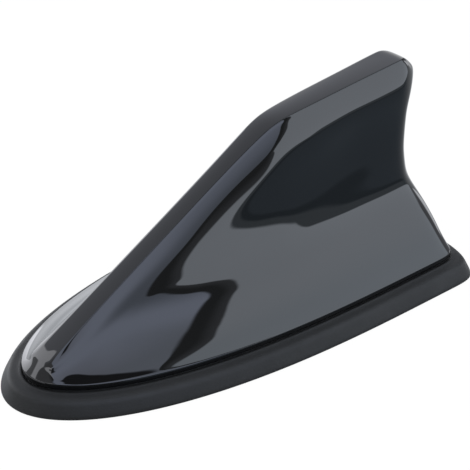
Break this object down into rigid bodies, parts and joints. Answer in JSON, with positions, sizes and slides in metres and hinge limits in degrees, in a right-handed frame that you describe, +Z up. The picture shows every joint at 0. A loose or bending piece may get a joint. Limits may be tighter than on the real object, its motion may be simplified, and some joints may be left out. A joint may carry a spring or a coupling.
{
  "type": "roof fin aerial",
  "caption": "Fin-shaped roof aerial for a car: gloss moulded cover on a stepped rubber skirt, held through the roof by the hollow stud of its base plate.",
  "frame": {"origin": "axis of the hollow stud at the roof's face, which is the underside of the rubber skirt", "axes": "+X to the tail, +Y to the car's right when the nose points forwards, +Z up from the roof"},
  "size_m": [0.165, 0.0824, 0.0805],
  "materials": {
    "cover": "piano black, polished",
    "skirt": "matte moulded rubber",
    "plate": "die-cast, as cast",
    "stud": "zinc plated",
    "seal": "matte",
    "posts": "moulded",
    "screws": "zinc plated",
    "board": "solder mask",
    "can": "tinned",
    "chips": "moulded",
    "ceramic": "fired ceramic",
    "silver": "silver paste",
    "copper": "bare track",
    "socket": "plated"
  },
  "bodies": {
    "root": {"fin_cover": "cover", "base_gasket": "skirt", "base_plate": "plate", "mount_stud": "stud", "turn_pegs": "plate", "stud_seal": "seal", "cover_posts": "posts", "cover_screws": "screws", "main_board": "board", "board_screws": "screws", "shield_can": "can", "board_chips": "chips", "gnss_patch": "ceramic", "patch_electrode": "silver", "fin_board": "board", "fin_traces": "copper", "cable_sockets": "socket"}
  },
  "joints": []
}
